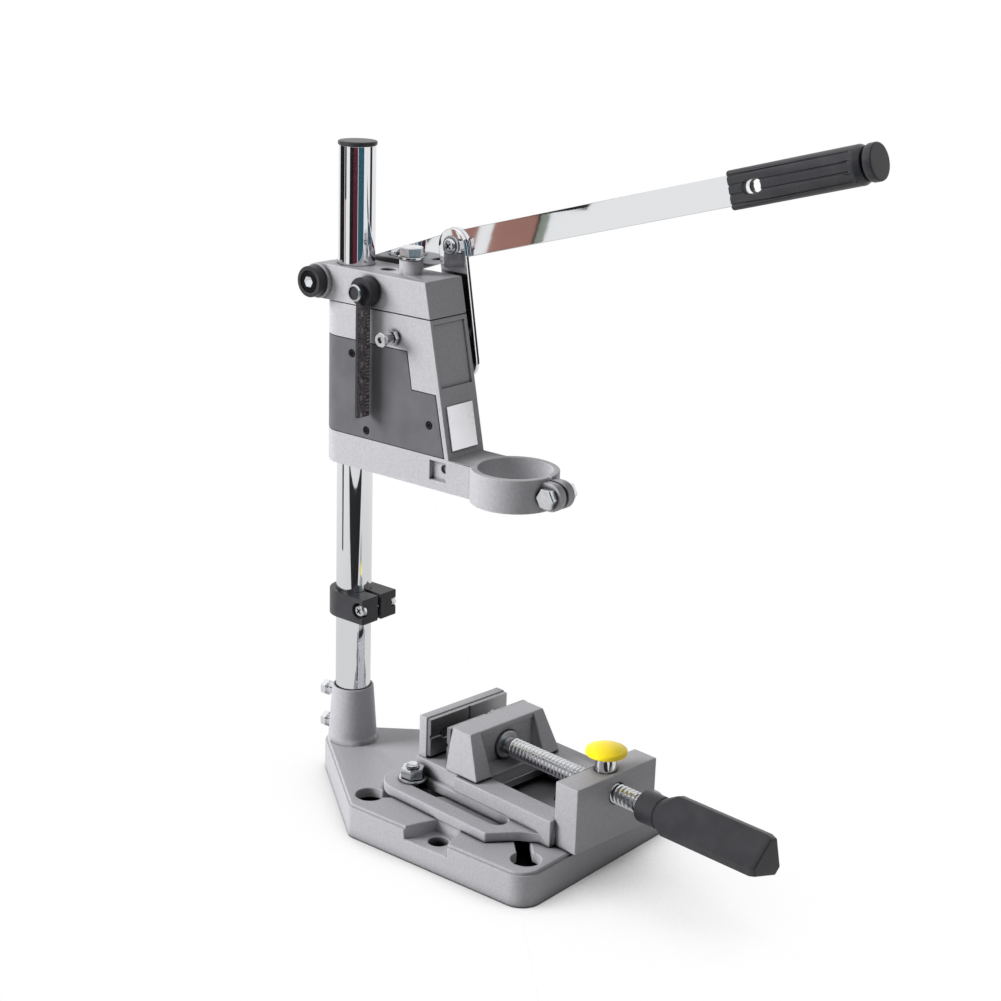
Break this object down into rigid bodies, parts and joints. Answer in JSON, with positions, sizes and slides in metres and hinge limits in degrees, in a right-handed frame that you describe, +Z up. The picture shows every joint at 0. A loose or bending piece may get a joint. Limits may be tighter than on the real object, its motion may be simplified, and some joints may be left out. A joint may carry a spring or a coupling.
{
  "type": "drill stand",
  "caption": "Bench drill stand: sprung carriage with tool collar on a column, side lever, depth stop and quick-release vice on a slotted base.",
  "frame": {"origin": "the tool collar's axis on the underside of the base, midway between the bench bolt holes", "axes": "+X to the lever side, +Y to the rear, towards the column, +Z up along the collar axis"},
  "size_m": [0.1458, 0.3554, 0.4288],
  "materials": {
    "painted_grey": "satin",
    "chrome_plate": "polished",
    "black_plastic": "matte",
    "zinc_steel": "bright",
    "spring_steel": "bright",
    "dark_plastic": "matte",
    "black_steel": "satin",
    "bush_steel": "satin",
    "label_plate": "satin",
    "ground_steel": "ground",
    "yellow_plastic": "satin"
  },
  "bodies": {
    "base": {"base_plate": "painted_grey", "column": "chrome_plate", "column_cap": "black_plastic", "column_screws": "chrome_plate", "vice_bolt": "zinc_steel", "vice_washer": "zinc_steel", "vice_nut": "zinc_steel"},
    "head": {"head_block": "painted_grey", "fulcrum_bolt": "zinc_steel", "fulcrum_ring": "black_plastic", "fulcrum_washer": "zinc_steel", "fulcrum_nut": "zinc_steel", "guide_rod": "zinc_steel", "rod_washer": "zinc_steel", "rod_nut": "zinc_steel", "spring_seat": "zinc_steel", "return_spring": "spring_steel"},
    "scale": {"depth_scale": "black_plastic"},
    "knob": {"scale_knob": "black_plastic"},
    "carriage": {"carriage_body": "painted_grey", "left_cover": "dark_plastic", "right_cover": "dark_plastic", "cover_screws": "black_steel", "guide_bushes": "bush_steel", "front_plate": "label_plate", "depth_pin": "zinc_steel", "collar_bolt": "zinc_steel", "collar_nut": "zinc_steel", "pull_plate": "chrome_plate", "plate_screws": "zinc_steel", "pivot_screw": "zinc_steel", "pivot_washer": "zinc_steel", "pivot_nut": "zinc_steel"},
    "lever": {"lever_bar": "chrome_plate", "lever_grip": "black_plastic", "grip_cap": "black_plastic"},
    "stop": {"stop_ring": "black_plastic", "stop_screw": "zinc_steel", "stop_nut": "zinc_steel"},
    "vice": {"vice_body": "painted_grey", "fixed_jaw_plate": "ground_steel", "fixed_plate_screws": "zinc_steel", "release_spring": "spring_steel"},
    "jaw": {"moving_jaw": "painted_grey", "moving_jaw_plate": "ground_steel", "moving_plate_screws": "zinc_steel", "jaw_keeper": "ground_steel", "keeper_screws": "zinc_steel", "screw_collar": "ground_steel"},
    "spindle": {"lead_screw": "zinc_steel", "vice_handle": "black_plastic"},
    "button": {"release_button": "yellow_plastic", "release_stem": "chrome_plate"}
  },
  "joints": [
    {"name": "head_height", "type": "slide", "parent": "base", "child": "head", "axis": [0, 0, 1], "range_m": [-0.02, 0.06]},
    {"name": "carriage_slide", "type": "slide", "parent": "head", "child": "carriage", "axis": [0, 0, -1], "range_m": [0, 0.06], "stiffness_N_per_m": 600, "springref_m": -0.05, "deforming": ["return_spring"]},
    {"name": "lever_swing", "type": "hinge", "parent": "head", "child": "lever", "pos_m": [0.0246, 0.141, 0.3165], "axis": [1, 0, 0], "range_deg": [0, 45.5]},
    {"name": "scale_swing", "type": "hinge", "parent": "head", "child": "scale", "pos_m": [-0.0222, 0.0995, 0.3165], "axis": [1, 0, 0], "range_deg": [-8, 60]},
    {"name": "scale_knob_turn", "type": "hinge", "parent": "head", "child": "knob", "pos_m": [-0.0222, 0.0995, 0.3165], "axis": [1, 0, 0], "continuous": true},
    {"name": "depth_stop", "type": "slide", "parent": "base", "child": "stop", "axis": [0, 0, 1], "range_m": [-0.04, 0]},
    {"name": "vice_shift", "type": "slide", "parent": "base", "child": "vice", "axis": [0.0958, 0.9954, 0], "range_m": [0, 0.02]},
    {"name": "jaw_slide", "type": "slide", "parent": "vice", "child": "jaw", "axis": [0.0958, 0.9954, 0], "range_m": [-0.045, 0.013]},
    {"name": "spindle_turn", "type": "hinge", "parent": "jaw", "child": "spindle", "pos_m": [0.0017, -0.0814, 0.0494], "axis": [0.0958, 0.9954, 0], "continuous": true},
    {"name": "button_press", "type": "slide", "parent": "vice", "child": "button", "axis": [0, 0, -1], "range_m": [0, 0.004], "stiffness_N_per_m": 800, "springref_m": -0.004, "deforming": ["release_spring"]}
  ],
  "couplings": [
    {"joint": "lever_swing", "follows": "carriage_slide", "rad_per_m": 13.2}
  ]
}
